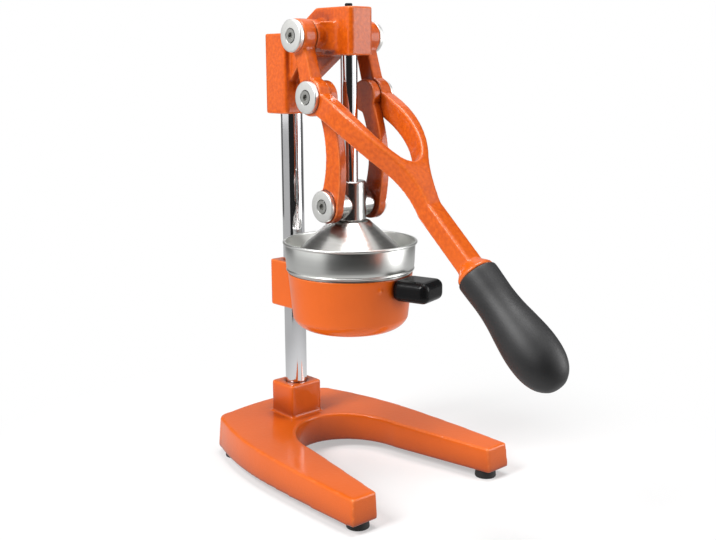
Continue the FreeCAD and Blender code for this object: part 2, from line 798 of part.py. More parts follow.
def crank():
    """The right crank: two eyes and the bar between them."""
    along = mid_pivot - top_pivot
    along.normalize()
    across = Vector(0, along.z, -along.y)
    offset = RIGHT * lever_inner_x
    corners = [top_pivot + across * crank_half_width, mid_pivot + across * (crank_half_width + 1)]
    corners += [mid_pivot - across * (crank_half_width + 1), top_pivot - across * crank_half_width]
    bar = polygon([corner + offset for corner in corners]).extrude(RIGHT * crank_thickness)
    top_eye = rod_between(top_pivot, RIGHT, top_eye_radius, lever_inner_x, lever_inner_x + top_eye_thickness)
    mid_eye = rod_between(mid_pivot, RIGHT, mid_eye_radius, lever_inner_x, lever_inner_x + mid_eye_thickness)
    return joined([bar, top_eye, mid_eye])


def lever_casting():
    yoke = yoke_plan().common(yoke_side())
    flare = Part.makeCone(stem_half_height, collar_radius, collar_u - stem_end_u,
                          lever_point(stem_end_u, 0, 0), stem_axis)
    collar = cylinder(lever_point(collar_u, 0, 0), stem_axis, collar_radius, collar_thickness)
    right_crank = crank()
    body = joined([yoke, flare, collar, right_crank, mirrored(right_crank)])
    bore = pivot_sleeve_radius + running_gap
    wide = lever_inner_x + top_eye_thickness + 5
    body = body.cut(rod_between(top_pivot, RIGHT, bore, -wide, wide))
    body = body.cut(rod_between(mid_pivot, RIGHT, pivot_screw_radius + fixed_gap, -wide, wide))
    tang_hole = rod_between(lever_knot, stem_axis, tang_radius + fixed_gap, stem_end_u - 20,
                            collar_u + collar_thickness + 1)
    return body.cut(tang_hole)


def grip_tang():
    """The rod inside the grip, screwed into the stem."""
    start = stem_end_u - 19
    return rod_between(lever_knot, stem_axis, tang_radius, start, collar_u + collar_thickness + tang_length)


def lever_grip():
    seat = collar_u + collar_thickness

    def at(u, radius):
        return lever_point(seat + u, 0, radius)

    edge = 2.0
    edges = [line(at(0, 0), at(0, grip_start_radius - edge))]
    edges += [line(at(0, grip_start_radius - edge), at(edge, grip_start_radius))]
    profile = [at(edge, grip_start_radius), at(grip_neck_u, grip_neck_radius)]
    profile += [at((grip_neck_u + grip_bulb_u) / 2, (grip_neck_radius + grip_bulb_radius) / 2 + 0.3)]
    profile += [at(grip_bulb_u, grip_bulb_radius), at(grip_end_round_u, grip_end_radius)]
    profile += [at(grip_length - 4.0, grip_end_radius * 0.65), at(grip_length, 0)]
    curve = Part.BSplineCurve()
    curve.interpolate(Points=profile, InitialTangent=stem_axis * 30, FinalTangent=stem_up * -30)
    edges += [curve.toShape(), line(at(grip_length, 0), at(0, 0))]
    body = face_of(edges).revolve(lever_knot, stem_axis, 360)
    hole_end = seat + tang_length + 1
    return body.cut(rod_between(lever_knot, stem_axis, tang_radius + fixed_gap, seat - 1, hole_end))


# links
def link_body():
    """The right link: a bowed bar with an eye at each end."""
    chord = mid_pivot - low_pivot
    half_chord = chord.Length / 2
    bend_radius = (half_chord ** 2 + link_bow ** 2) / (2 * link_bow)
    along = Vector(chord.x, chord.y, chord.z)
    along.normalize()
    forward = Vector(0, -along.z, along.y)
    middle = (mid_pivot + low_pivot) * 0.5
    bend_centre = middle - forward * (bend_radius - link_bow)
    offset = RIGHT * link_inner_x

    def at(towards, radius):
        direction = towards - bend_centre
        direction.normalize()
        return bend_centre + direction * radius + offset

    crest = middle + forward * link_bow
    front = bend_radius + link_half_width
    back = bend_radius - link_half_width
    heel_centre = low_pivot + forward * link_heel
    low_front = heel_centre + forward * link_low_radius + offset
    edges = [arc(low_front, at(crest, front), at(mid_pivot, front))]
    edges += [line(at(mid_pivot, front), at(mid_pivot, back))]
    edges += [arc(at(mid_pivot, back), at(crest, back), at(low_pivot, back))]
    edges += [line(at(low_pivot, back), low_front)]
    bar = face_of(edges).extrude(RIGHT * link_thickness)
    top_eye = rod_between(mid_pivot, RIGHT, link_top_radius, link_inner_x, link_outer_x)
    low_eye = rod_between(heel_centre, RIGHT, link_low_radius, link_inner_x, link_outer_x)
    body = joined([bar, top_eye, low_eye])
    spot = rod_between(low_pivot, RIGHT, pivot_washer_radius + 0.4, link_outer_x - link_spot_depth,
                       link_outer_x + 1)
    body = body.cut(spot)
    thread = rod_between(mid_pivot, RIGHT, pivot_screw_radius + fixed_gap,
                         link_inner_x + link_thread_floor, link_outer_x + 1)
    bore = rod_between(low_pivot, RIGHT, pivot_sleeve_radius + running_gap, link_inner_x - 1,
                       link_outer_x + 1)
    return body.cut([thread, bore])


# plunger
def plunger_rod():
    centre = Vector(0, 0, 0)
    rod = rod_between(centre, UP, rod_radius, sleeve_low_z, rod_top_z)
    rod = rod.makeChamfer(0.8, [edge for edge in rod.Edges if edge.Closed])
    foot_hole = rod_between(centre, UP, cone_bolt_radius + fixed_gap, 0, sleeve_low_z + cone_bolt_reach + 1)
    top_hole = rod_between(centre, UP, rod_screw_radius + fixed_gap, rod_top_z - rod_screw_length - 1,
                           rod_top_z + 1)
    return rod.cut([foot_hole, top_hole])


def rod_end_screw():
    centre = Vector(0, 0, 0)
    head = rod_between(centre, UP, rod_screw_head, rod_top_z, rod_top_z + rod_screw_head_height)
    head = head.makeChamfer(0.7, [edge for edge in head.Edges
                                  if edge.Closed and edge.CenterOfMass.z > rod_top_z + 1])
    shank = rod_between(centre, UP, rod_screw_radius, rod_top_z - rod_screw_length, rod_top_z)
    socket = hexagon_socket(centre + UP * (rod_top_z + rod_screw_head_height), UP, 2.5, 1.8)
    return joined([head, shank]).cut(socket)


def crosshead():
    centre = Vector(0, 0, 0)
    sleeve = rod_between(centre, UP, sleeve_radius, sleeve_low_z, sleeve_top_z)
    sleeve = sleeve.makeChamfer(1.0, [edge for edge in sleeve.Edges if edge.Closed])
    lugs = rod_between(low_pivot, RIGHT, lug_radius, -lug_end_x, lug_end_x)
    lugs = lugs.makeChamfer(0.8, [edge for edge in lugs.Edges if edge.Closed])
    body = joined([sleeve, lugs])
    rod_hole = rod_between(centre, UP, rod_radius + fixed_gap, sleeve_low_z - 1, sleeve_top_z + 1)
    pin_hole = rod_between(crosshead_pin_centre(), BACK, crosshead_pin_radius() + fixed_gap,
                           rod_radius - 1, sleeve_radius + 1)
    screw_hole = rod_between(low_pivot, RIGHT, pivot_screw_radius + fixed_gap, low_screw_end_x() - 0.5,
                             lug_end_x + 1)
    return body.cut([rod_hole, pin_hole, screw_hole, mirrored(screw_hole)])


def low_screw_end_x():
    return lug_end_x - pivot_screw_grip


def crosshead_pin_centre():
    return Vector(0, 0, (low_pivot_z + lug_radius + sleeve_top_z) / 2)


def crosshead_pin_radius():
    return grub_radius * 0.6


def crosshead_screw():
    """A set screw at the rear of the crosshead that holds the rod."""
    centre = crosshead_pin_centre()
    start = rod_radius + fixed_gap
    end = sleeve_radius - 1.0
    screw = rod_between(centre, BACK, crosshead_pin_radius(), start, end)
    return screw.cut(hexagon_socket(centre + BACK * end, BACK, crosshead_pin_radius(), 2.0))


def press_cone():
    wall = cone_wall * math.hypot(1, cone_slope)
    plate_z = sleeve_low_z - cone_plate
    lip_z = cone_rim_z - cone_lip
    inner_top = cone_top_radius - wall + cone_slope * (sleeve_low_z - plate_z)
    inner_rim = cone_rim_radius - cone_wall
    inner_rim_z = plate_z - (inner_rim - inner_top) / cone_slope
    points = [(cone_bolt_radius + 0.3, sleeve_low_z), (cone_top_radius, sleeve_low_z)]
    points += [(cone_rim_radius, cone_rim_z), (cone_rim_radius, lip_z), (inner_rim, lip_z)]
    points += [(inner_rim, inner_rim_z), (inner_top, plate_z), (cone_bolt_radius + 0.3, plate_z)]
    return turned(outline(points))


def cone_washer():
    top = sleeve_low_z - cone_plate
    disc = rod_between(Vector(0, 0, 0), UP, cone_washer_radius, top - cone_washer_thickness, top)
    return disc.cut(rod_between(Vector(0, 0, 0), UP, cone_bolt_radius + 0.3, 0, top + 1))


def cone_bolt():
    centre = Vector(0, 0, 0)
    seat = sleeve_low_z - cone_plate - cone_washer_thickness
    head = rod_between(centre, UP, cone_bolt_head, seat - cone_bolt_head_height, seat)
    shank = rod_between(centre, UP, cone_bolt_radius, seat, sleeve_low_z + cone_bolt_reach)
    socket = hexagon_socket(centre + UP * (seat - cone_bolt_head_height), -UP, 5.0, 2.4)
    return joined([head, shank]).cut(socket)


# juice bowl and strainer
def juice_bowl():
    """The rolled rim, the wall, and the ledge that lies on the ring."""
    wall = bowl_wall
    rim = Vector(bowl_wall_top, 0, bowl_rim_z - bowl_lip)
    roll_out = Vector(bowl_rim_radius, 0, bowl_rim_z - bowl_lip)
    roll_top = Vector((bowl_wall_top - wall + bowl_rim_radius) / 2, 0, bowl_rim_z)
    roll_in = Vector(bowl_wall_top - wall, 0, bowl_rim_z - bowl_lip)
    step_low = bowl_step_z - bowl_step_fall
    step_rise = wall * 0.3
    outside = [(bowl_wall_top, bowl_rim_z - bowl_lip), (bowl_step_radius, bowl_step_z)]
    outside += [(bowl_seat_radius, step_low), (bowl_seat_radius, ring_top_z)]
    inside = [(bowl_neck_radius, ring_top_z), (bowl_neck_radius, ring_top_z + wall)]
    inside += [(bowl_seat_radius - wall, ring_top_z + wall), (bowl_seat_radius - wall, step_low + step_rise)]
    inside += [(bowl_step_radius - wall, bowl_step_z + step_rise),
               (bowl_wall_top - wall, bowl_rim_z - bowl_lip)]
    corners = [Vector(radius, 0, z) for radius, z in outside + inside]
    edges = [line(a, b) for a, b in zip(corners, corners[1:])]
    edges += [arc(roll_in, roll_top, roll_out), line(roll_out, rim)]
    return turned(edges)


def bowl_funnel():
    """The funnel welded into the ledge's inner edge."""
    top = ring_top_z + bowl_wall
    slope = (bowl_neck_radius - spout_radius) / (ring_top_z - spout_start_z)
    thick = bowl_wall * math.hypot(1, slope)
    points = [(bowl_neck_radius, top), (bowl_neck_radius, ring_top_z), (spout_radius, spout_start_z)]
    points += [(spout_radius - bowl_wall, spout_start_z)]
    points += [(spout_radius - bowl_wall, spout_start_z + bowl_wall)]
    points += [(bowl_neck_radius - thick, ring_top_z), (bowl_neck_radius - thick, top)]
    return turned(outline(points))


def bowl_spout():
    """The short tube welded under the funnel."""
    tube = rod_between(Vector(0, 0, 0), UP, spout_radius, spout_end_z, spout_start_z)
    return tube.cut(rod_between(Vector(0, 0, 0), UP, spout_radius - bowl_wall, spout_end_z - 1,
                                spout_start_z + 1))


def strainer_surface(grow):
    """The outside of the strainer's dome, filled down to its brim and made larger by grow."""
    brim_z = ring_top_z + bowl_wall
    tip = Vector(0, 0, strainer_tip_z + grow)
    shoulder = Vector(strainer_shoulder_radius + grow * 0.6, 0, strainer_shoulder_z + grow * 0.8)
    foot = Vector(strainer_foot_radius + grow, 0, brim_z)
    edges = [arc(tip, shoulder, foot), line(foot, Vector(0, 0, brim_z)), line(Vector(0, 0, brim_z), tip)]
    return turned(edges)


def strainer():
    brim_z = ring_top_z + bowl_wall
    centre = Vector(0, 0, 0)
    brim = rod_between(centre, UP, strainer_brim_radius, brim_z, brim_z + strainer_wall)
    body = brim.fuse(strainer_surface(0))
    ribs = []
    for index in range(strainer_ribs):
        low = Vector(strainer_shoulder_radius * 0.35, -strainer_rib_half, brim_z)
        high = Vector(strainer_foot_radius + 2, strainer_rib_half, strainer_tip_z + 4)
        rib = box_between(low, high)
        rib.rotate(centre, UP, 360.0 * index / strainer_ribs)
        ribs.append(rib)
    body = body.fuse([strainer_surface(strainer_rib_height).common(rib) for rib in ribs])
    body = body.cut(strainer_surface(-strainer_wall))
    slots = []
    for index in range(strainer_slots):
        low = Vector(strainer_foot_radius - strainer_slot_length, -strainer_slot_half, brim_z - 1)
        high = Vector(strainer_foot_radius - 1.5, strainer_slot_half, strainer_tip_z)
        slot = box_between(low, high)
        slot.rotate(centre, UP, 360.0 * (index + 0.5) / strainer_slots)
        slots.append(slot)
    return body.cut(slots)


def build():
    parts = {}
    parts["base_casting"] = base_casting()
    for name, place in foot_places().items():
        parts[name] = rubber_foot(place)
    parts["foot_screws"] = foot_screws()
    parts["column"] = column()
    parts["column_bolt"] = column_bolt()
    parts["column_washer"] = column_washer()
    parts["grub_screws"] = grub_screws()
    parts["cup_ring"] = cup_ring()
    parts["side_handle"] = side_handle()
    parts["side_handle_screw"] = side_handle_screw()
    parts["head_casting"] = head_casting()
    parts["guide_bush_lower"] = guide_bush(guide_low_z)
    parts["guide_bush_upper"] = guide_bush(guide_top_z - bush_length)
    washer_face = top_washer_x() + pivot_washer_thickness
    parts["top_pivot_washers"] = both_sides(pivot_washer(top_pivot, top_washer_x()))
    parts["top_pivot_screws"] = both_sides(pivot_screw(top_pivot, head_boss_x() - pivot_screw_grip,
                                                       washer_face))
    parts["top_pivot_sleeves"] = both_sides(pivot_sleeve(top_pivot, head_boss_x(), top_washer_x()))
    parts["lever_casting"] = lever_casting()
    parts["grip_tang"] = grip_tang()
    parts["lever_grip"] = lever_grip()
    right_side = {
        "link": link_body(),
        "mid_pivot_washer": pivot_washer(mid_pivot, mid_washer_x()),
        "mid_pivot_screw": pivot_screw(mid_pivot, lever_inner_x, mid_washer_x() + pivot_washer_thickness),
        "low_pivot_washer": pivot_washer(low_pivot, low_washer_x()),
        "low_pivot_screw": pivot_screw(low_pivot, low_screw_end_x(),
                                       low_washer_x() + pivot_washer_thickness),
        "low_pivot_sleeve": pivot_sleeve(low_pivot, lug_end_x, low_washer_x()),
    }
    for name, shape in right_side.items():
        parts[name + "_right"] = shape
        parts[name + "_left"] = mirrored(shape)
    parts["plunger_rod"] = plunger_rod()
    parts["rod_end_screw"] = rod_end_screw()
    parts["crosshead"] = crosshead()
    parts["crosshead_screw"] = crosshead_screw()
    parts["press_cone"] = press_cone()
    parts["cone_washer"] = cone_washer()
    parts["cone_bolt"] = cone_bolt()
    parts["juice_bowl"] = juice_bowl()
    parts["bowl_funnel"] = bowl_funnel()
    parts["bowl_spout"] = bowl_spout()
    parts["strainer"] = strainer()
    return parts


os.makedirs("parts", exist_ok=True)
press = build()
front_y = press["lever_grip"].optimalBoundingBox().YMin
rear_y = press["base_casting"].optimalBoundingBox().YMax
middle_y = (front_y + rear_y) / 2
print("the plunger's axis is at y =", round(-middle_y, 4))
for node, shape in press.items():
    shape.translate(BACK * -middle_y)
    shape.exportStep("parts/" + node + ".step")
    box = shape.BoundBox
    print(node, len(shape.Solids), shape.isValid(), round(shape.Volume),
          [round(value, 1) for value in (box.XMin, box.YMin, box.ZMin, box.XMax, box.YMax, box.ZMax)])
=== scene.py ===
# %% [markdown]
# # A lever citrus press
# This file dresses a press whose solids already exist: cast arms, a steel column, a bowl and a bell.
# The solids say where everything is. Here they get soft cast edges, rolled metal and painted,
# polished or moulded surfaces.

# %% Load the solids
import json
import math

import bmesh
import bpy
from mathutils import Matrix, Vector


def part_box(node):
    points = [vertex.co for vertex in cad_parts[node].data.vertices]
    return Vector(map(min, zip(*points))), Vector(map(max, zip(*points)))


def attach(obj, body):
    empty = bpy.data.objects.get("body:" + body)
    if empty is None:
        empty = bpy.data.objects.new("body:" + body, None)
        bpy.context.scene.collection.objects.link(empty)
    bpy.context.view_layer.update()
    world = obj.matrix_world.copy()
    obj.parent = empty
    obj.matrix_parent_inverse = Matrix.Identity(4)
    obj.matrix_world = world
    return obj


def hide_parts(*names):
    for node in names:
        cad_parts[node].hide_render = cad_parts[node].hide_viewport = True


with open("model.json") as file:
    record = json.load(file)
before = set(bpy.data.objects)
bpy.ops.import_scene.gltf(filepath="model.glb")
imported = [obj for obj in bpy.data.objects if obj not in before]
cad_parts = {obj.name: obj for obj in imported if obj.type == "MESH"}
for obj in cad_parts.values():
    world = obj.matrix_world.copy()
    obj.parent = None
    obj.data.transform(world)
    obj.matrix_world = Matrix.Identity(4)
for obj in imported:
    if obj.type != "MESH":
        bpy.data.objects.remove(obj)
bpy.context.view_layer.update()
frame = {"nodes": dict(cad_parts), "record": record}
nodes = frame["nodes"]
record = frame["record"]
body_of_node = {node: body for body, members in record["behaviour"]["bodies"].items() for node in members}
slot_of_node = {part["node"]: part["material_slot"] for part in record["subparts"]}


def short(values, digits=4):
    """The values of a vector, rounded to be printed."""
    return [round(value, digits) for value in values]


# %% [markdown]
# ## The plunger's axis
# Ring, bowl, bell and rod all stand on one upright axis. It is the line that the rest is measured from.

# %% Axis of the plunger
def middle_of(node):
    low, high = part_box(node)
    return (low + high) / 2


plunger_foot = Vector((0, middle_of("plunger_rod").y, 0))
print("the plunger's axis stands at y =", round(plunger_foot.y, 5))

# %% [markdown]
# ## The camera
# A press is photographed from a little above its bowl, turned so that both legs and the lever show.
# A lens of about 51 mm keeps its uprights nearly parallel. The camera is turned by three rotations:
# round the upright axis, down from the horizon, and a hair round its own axis.

# %% Camera
camera_place = plunger_foot + Vector((-0.6073, -0.6881, 0.3761))
camera_turn = math.radians(-41.87)
camera_dip = math.radians(11.33)
camera_roll = math.radians(-0.29)
camera = bpy.data.objects.new("camera", bpy.data.cameras.new("camera"))
camera.data.lens = 51.37
camera.data.sensor_width = 36.0
turn = Matrix.Rotation(camera_turn, 4, "Z") @ Matrix.Rotation(math.radians(90) - camera_dip, 4, "X")
camera.matrix_world = Matrix.Translation(camera_place) @ turn @ Matrix.Rotation(camera_roll, 4, "Z")
camera.data.clip_start, camera.data.clip_end = 0.02, 30.0
bpy.context.scene.collection.objects.link(camera)
bpy.context.scene.camera = camera
bpy.context.scene.view_settings.view_transform = "Standard"
print("camera stands", round((camera_place - plunger_foot).length, 3), "m from the foot of the plunger")

# %% [markdown]
# ## Writing materials as sums
# A material is a graph of nodes. Written as Python sums it reads like a recipe: `0.3 + 0.1 * grain`.
# A `Mark` stands for one output socket of the graph, and its operators add Math nodes.
# A `Finish` owns the graph, and its `node` method adds any other node.

# %% A socket that can be used in sums
class Mark:
    def __init__(self, finish, socket):
        self.finish, self.socket = finish, socket

    def combine(self, operation, first, second):
        vector = "VECTOR" in (self.socket.type, getattr(getattr(second, "socket", None), "type", ""))
        kind = "ShaderNodeVectorMath" if vector else "ShaderNodeMath"
        return self.finish.node(kind, {"operation": operation}, {0: first, 1: second})

    def __add__(self, other): return self.combine("ADD", self, other)
    def __radd__(self, other): return self.combine("ADD", other, self)
    def __sub__(self, other): return self.combine("SUBTRACT", self, other)
    def __rsub__(self, other): return self.combine("SUBTRACT", other, self)
    def __mul__(self, other): return self.combine("MULTIPLY", self, other)
    def __rmul__(self, other): return self.combine("MULTIPLY", other, self)
    def __truediv__(self, other): return self.combine("DIVIDE", self, other)
    def __rtruediv__(self, other): return self.combine("DIVIDE", other, self)
    def __pow__(self, other): return self.combine("POWER", self, other)


# %% A material and its graph
class Finish:
    def __init__(self, name, tree=None):
        self.material = None if tree else bpy.data.materials.new(name)
        if self.material:
            self.material.use_nodes = True
        self.tree = tree or self.material.node_tree
        self.tree.nodes.clear()

    def node(self, kind, settings=None, inputs=None, out=0):
        made = self.tree.nodes.new(kind)
        for setting, value in (settings or {}).items():
            setattr(made, setting, value)
        for name, value in (inputs or {}).items():
            if isinstance(value, Mark):
                self.tree.links.new(value.socket, made.inputs[name])
            else:
                made.inputs[name].default_value = value
        return Mark(self, made.outputs[out])

    def place(self, centre=(0, 0, 0), stretch=(1, 1, 1)):
        """Where a point lies on the object, measured from a centre."""
        here = self.node("ShaderNodeTexCoord", out="Object")
        moved = [-value * scale for value, scale in zip(centre, stretch)]
        return self.node("ShaderNodeMapping", {}, {"Vector": here, "Location": moved, "Scale": stretch})

    def grain(self, size, detail=2.0, roughness=0.5, stretch=(1, 1, 1)):
        """Noise from 0 to 1 with lumps of about this size in metres."""
        lumps = {"Vector": self.place(stretch=stretch), "Scale": 1.0 / size}
        lumps.update({"Detail": detail, "Roughness": roughness})
        return self.node("ShaderNodeTexNoise", {}, lumps, out="Fac")

    def rise(self, value, start, end):
        """0 below start, 1 above end, and smooth between."""
        ends = {"Value": value, "From Min": start, "From Max": end}
        return self.node("ShaderNodeMapRange", {"interpolation_type": "SMOOTHSTEP"}, ends)

    def blend(self, share, first, second):
        return self.node("ShaderNodeMix", {"data_type": "RGBA"}, {0: share, 6: first, 7: second}, out=2)

    def bump(self, height, depth):
        """The relief of a height from 0 to 1 that stands for this depth in metres."""
        return self.node("ShaderNodeBump", {}, {"Strength": 1.0, "Distance": depth, "Height": height})

    def shade(self, **sockets):
        named = {name.replace("_", " "): value for name, value in sockets.items()}
        self.show(self.node("ShaderNodeBsdfPrincipled", {}, named))
        return self.material

    def show(self, surface, output="ShaderNodeOutputMaterial"):
        self.tree.links.new(surface.socket, self.tree.nodes.new(output).inputs["Surface"])


def rgb(red, green, blue):
    """A colour as a screen shows it, from 0 to 255, in the linear values that shaders use."""
    linear = [((c / 255 + 0.055) / 1.055) ** 2.4 if c > 10 else c / 255 / 12.92 for c in (red, green, blue)]
    return (*linear, 1.0)


print("mid orange in linear values:", short(rgb(235, 95, 35), 3))

# %% [markdown]
# ## Floor and sky
# A white studio sweep is easy to blow out. Here the floor and the sky only look white to the camera
# and in reflections, while the lamps stay at a plain level, so paint keeps its written colour.
# Round the feet the floor mixes that white with a real pale surface, which catches a faint shadow.
# In reflections the floor is a glow at a painted level, darker than the sky as a shaded table would be,
# and painted lighter close to the feet, so the column's foot mirrors a painted lit patch.

# %% Floor
def seen_directly(finish):
    """1 for what the camera sees, also through a mirror or glass, and 0 for light that falls on things."""
    kinds = ("Is Camera Ray", "Is Glossy Ray", "Is Transmission Ray")
    rays = [finish.node("ShaderNodeLightPath", out=kind) for kind in kinds]
    return finish.node("ShaderNodeMath", {"operation": "MINIMUM"}, {0: rays[0] + rays[1] + rays[2], 1: 1.0})


sweep = Finish("floor_paper")
paper = sweep.node("ShaderNodeBsdfDiffuse", {}, {"Color": (0.95, 0.95, 0.95, 1)})
glow = sweep.node("ShaderNodeEmission", {}, {"Color": (1, 1, 1, 1), "Strength": 1.0})
from_press = sweep.place(plunger_foot) * (1, 1, 0)
distance = sweep.node("ShaderNodeVectorMath", {"operation": "LENGTH"}, {0: from_press}, out="Value")
white_share = (0.42 + 0.58 * sweep.rise(distance, 0.16, 0.4)) * seen_directly(sweep)
seen = sweep.node("ShaderNodeMixShader", {}, {0: white_share, 1: paper, 2: glow})
# What mirrors see of the floor is a glow at a painted level, painted lighter near the feet.
painted_mirror_level = 0.72 - 0.3 * sweep.rise(distance, 0.2, 0.5)
painted_mirror_glow = sweep.node("ShaderNodeMixShader", {}, {0: painted_mirror_level, 2: glow})
in_mirrors = 0.85 * sweep.node("ShaderNodeLightPath", out="Is Glossy Ray")
sweep.show(sweep.node("ShaderNodeMixShader", {}, {0: in_mirrors, 1: seen, 2: painted_mirror_glow}))
floor_radius = 6.0
floor_mesh = bmesh.new()
bmesh.ops.create_circle(floor_mesh, cap_ends=True, segments=64, radius=floor_radius)
floor_data = bpy.data.meshes.new("floor")
floor_mesh.to_mesh(floor_data)
floor_mesh.free()
floor = bpy.data.objects.new("floor", floor_data)
floor.data.materials.append(sweep.material)
bpy.context.scene.collection.objects.link(floor)
print("floor", floor_radius, "m in radius")

# %% Sky
fill_light = 0.1
world = bpy.data.worlds.new("studio")
bpy.context.scene.world = world
world.use_nodes = True
sky = Finish("sky", world.node_tree)
white = sky.node("ShaderNodeBackground", {}, {"Color": (1, 1, 1, 1), "Strength": 1.0})
soft = sky.node("ShaderNodeBackground", {}, {"Color": (1, 1, 1, 1), "Strength": fill_light})
sky_light = sky.node("ShaderNodeMixShader", {}, {0: seen_directly(sky), 1: soft, 2: white})
sky.show(sky_light, "ShaderNodeOutputWorld")
print("the sky lights at", fill_light, "of what it shows")

# %% [markdown]
# ## Lamps
# The main softbox hangs to the left and above, so left flanks and tops are bright. A small one close to
# the front right lays a pale sheen on the faces that turn to it, and a large one fills in from above.
# What looks down or hides behind a wall falls off fast.

# %% Softboxes
def softbox(name, place, width, height, power):
    data = bpy.data.lights.new(name, "AREA")
    data.shape, data.size, data.size_y, data.energy = "RECTANGLE", width, height, power
    lamp = bpy.data.objects.new(name, data)
    aim = (press_middle - Vector(place)).to_track_quat("-Z", "Y").to_matrix().to_4x4()
    lamp.matrix_world = Matrix.Translation(place) @ aim
    bpy.context.scene.collection.objects.link(lamp)


press_middle = plunger_foot + Vector((0, -0.03, 0.2))
softbox("left_lamp", press_middle + Vector((-1.4, 0.1, 1.2)), 0.6, 0.9, 31)
softbox("top_lamp", press_middle + Vector((0.1, -0.1, 1.8)), 0.9, 0.9, 22)
softbox("right_lamp", press_middle + Vector((0.8, -0.8, 0.2)), 0.5, 0.8, 5.2)


# %% [markdown]
# ## Dark cards
# In an all-white room polished steel looks like nothing. A photographer stands black cards round it, and
# the cards draw the dark bands that make it read as metal. A grey one far behind keeps the painted tops
# from mirroring the pale room at a low angle. Only reflections see these cards.

# %% Cards
def dark_card(name, azimuth, spread, low, high, reach, shade):
    """A card bent round the press, from azimuth - spread to azimuth + spread in degrees."""
    finish = Finish(name)
    finish.show(finish.node("ShaderNodeEmission", {}, {"Color": (shade, shade, shade, 1), "Strength": 1.0}))
    shape = bmesh.new()
    centre = press_middle * Vector((1, 1, 0))
    start = math.radians(azimuth - spread)
    edge = centre + Vector((math.sin(start), -math.cos(start), 0)) * reach
    ends = [shape.verts.new(edge + Vector((0, 0, height))) for height in (low, high)]
    side = shape.edges.new(ends)
    sweep_by = math.radians(2 * spread)
    bmesh.ops.spin(shape, geom=ends + [side], cent=centre, axis=(0, 0, 1), angle=sweep_by, steps=24)
    data = bpy.data.meshes.new(name)
    shape.to_mesh(data)
    shape.free()
    data.materials.append(finish.material)
    card = bpy.data.objects.new(name, data)
    for ray in ("camera", "diffuse", "shadow", "transmission", "volume_scatter"):
        setattr(card, "visible_" + ray, False)
    bpy.context.scene.collection.objects.link(card)


dark_card("card_front", -42, 44, 0.002, 0.8, 0.5, 0.02)
dark_card("card_rear_left", -175, 20, 0.002, 2.3, 1.7, 0.12)
dark_card("card_rear_right", 91, 20, 0.002, 2.3, 1.7, 0.12)
dark_card("card_far", 138, 70, 0.25, 1.4, 2.0, 0.45)
print("studio: one floor, three softboxes, four cards")

# %% [markdown]
# ## Orange paint on cast iron
# The castings are powder coated. The iron's sand-cast skin shows through as shallow pits and lumps of
# two to four millimetres, and the paint itself is glossy and slightly uneven, like orange peel. Head, lever
# and links come from rougher moulds than ring and base, so the pits fade below the bowl's rim. Light and
# shade are painted into the colour: a pale painted highlight along outer edges, painted shade in inner
# corners and a darker painted shade in recesses where little open air reaches.

# %% Orange paint
def orange_paint():
    paint = Finish("orange_paint")
    lumps = paint.grain(0.006, detail=3.0, roughness=0.55)
    pits = paint.rise(paint.grain(0.0032, detail=1.0), 0.2, 0.8)
    peel = paint.grain(0.0014, detail=1.0)
    cloud = paint.grain(0.045, detail=2.0)
    bend = paint.node("ShaderNodeNewGeometry", out="Pointiness")
    # Pointiness above the middle marks outer edges, which get a pale painted highlight.
    edge_highlight = paint.rise(bend, 0.505, 0.56)
    # Pointiness below the middle marks inner corners and creases, which get painted shade.
    crease_shade = paint.rise(bend, 0.485, 0.43)
    height = paint.node("ShaderNodeSeparateXYZ", {}, {0: paint.place()}, out="Z")
    rough = paint.rise(height, 0.2, 0.25)
    even = 1.0 - rough * (1.0 - pits)
    body = paint.blend(0.6 * even + 0.4 * cloud, rgb(194, 75, 8), rgb(231, 104, 15))
    # Ambient occlusion marks recesses and gaps between parts, which get a darker painted shade.
    open_air = paint.node("ShaderNodeAmbientOcclusion", {"samples": 12}, {"Distance": 0.05}, out="AO")
    recess_shade = paint.rise(open_air, 0.88, 0.48)
    # The pale colour here is a painted highlight along outer edges.
    highlighted_body = paint.blend(0.8 * edge_highlight, body, rgb(255, 155, 95))
    # Painted shade: deep orange in creases, then dark brown in recesses.
    colour = paint.blend(0.8 * recess_shade, paint.blend(0.7 * crease_shade, highlighted_body, rgb(150, 42, 4)), rgb(104, 28, 6))
    relief = paint.bump((0.3 + 0.7 * rough) * (0.6 * lumps + 0.3 * pits) + 0.1 * peel, 0.00035)
    return paint.shade(Base_Color=colour, Roughness=0.27 + 0.06 * lumps, Normal=relief,
                       Coat_Weight=0.28 + 0.15 * cloud, Coat_Roughness=0.1, Specular_IOR_Level=0.25)


# %% [markdown]
# ## Metals
# The column and the rod are chrome plated: almost mirror, with faint lengthwise draw marks. The bowl is
# spun stainless steel, whose tool leaves rings round it. The washers are turned and satin.

# %% Chrome plate
def chrome():
    plate = Finish("chrome")
    draw = plate.grain(0.0009, stretch=(1, 1, 0.02))
    cloud = plate.grain(0.03)
    colour = plate.blend(cloud, rgb(222, 222, 224), rgb(238, 238, 240))
    return plate.shade(Base_Color=colour, Metallic=1.0, Roughness=0.05 + 0.05 * draw,
                       Normal=plate.bump(draw, 0.000004))


